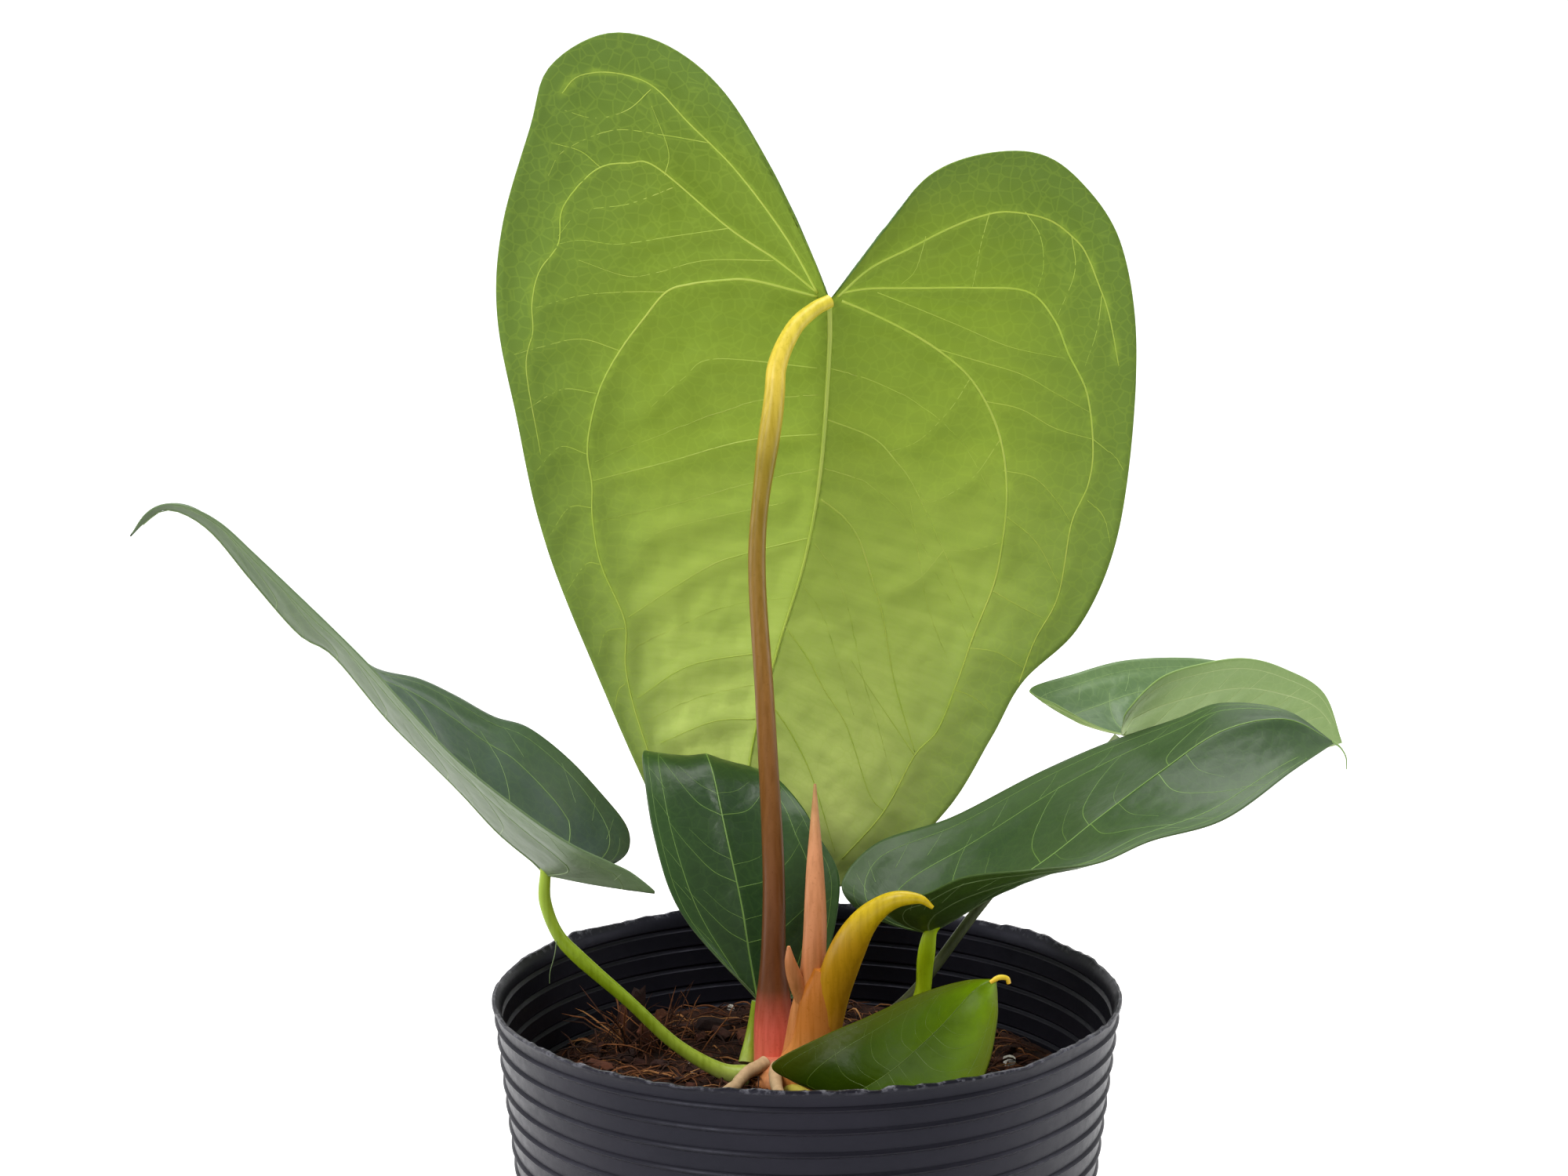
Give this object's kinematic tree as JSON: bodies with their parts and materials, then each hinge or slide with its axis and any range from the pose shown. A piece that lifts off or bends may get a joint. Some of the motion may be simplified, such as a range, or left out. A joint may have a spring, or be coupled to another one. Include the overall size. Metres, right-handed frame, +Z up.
{
  "type": "potted anthurium",
  "caption": "Young heart-leaved anthurium with one tall pale leaf, smaller dark leaves and a new pink shoot, growing in a thin ringed black nursery pot.",
  "frame": {"origin": "middle of the pot's flat base, on the surface it stands on", "axes": "+Z up along the pot's axis; -Y towards the side where the big leaf shows its pale underside; +X to the right seen from there"},
  "size_m": [0.3002, 0.1587, 0.3531],
  "materials": {
    "black_plastic": "satin, moulded, slightly scuffed",
    "bark_and_fibre": "rough, damp coir fibre and bark",
    "bark": "rough, matt",
    "perlite": "matt, grainy",
    "crown_tissue": "satin, scarred",
    "pale_root": "matt",
    "red_brown_stalk": "satin, yellow at its top joint",
    "green_stalk": "satin",
    "pale_leaf": "pale satin underside with raised veins, darker satin upper side",
    "dark_leaf": "satin, leathery, pale veins",
    "young_leaf": "glossy, thin",
    "pink_sheath": "satin, fleshy",
    "yellow_sheath": "satin, fleshy"
  },
  "bodies": {
    "root": {"pot": "black_plastic", "potting_mix": "bark_and_fibre", "crown": "crown_tissue", "big_leaf_stalk": "red_brown_stalk", "big_leaf_blade": "pale_leaf", "left_leaf_stalk": "green_stalk", "left_leaf_blade": "dark_leaf", "centre_leaf_stalk": "green_stalk", "centre_leaf_blade": "dark_leaf", "right_leaf_stalk": "green_stalk", "right_leaf_blade": "dark_leaf", "back_leaf_stalk": "green_stalk", "back_leaf_blade": "pale_leaf", "front_leaf_stalk": "green_stalk", "front_leaf_blade": "young_leaf", "new_leaf_spike": "pink_sheath", "side_bud": "pink_sheath", "hooked_sheath": "yellow_sheath", "aerial_root_1": "pale_root", "aerial_root_2": "pale_root", "aerial_root_3": "pale_root", "bark_chip_1": "bark", "bark_chip_2": "bark", "bark_chip_3": "bark", "bark_chip_4": "bark", "bark_chip_5": "bark", "bark_chip_6": "bark", "perlite_grain_1": "perlite", "perlite_grain_2": "perlite", "perlite_grain_3": "perlite", "perlite_grain_4": "perlite", "perlite_grain_5": "perlite"}
  },
  "joints": []
}
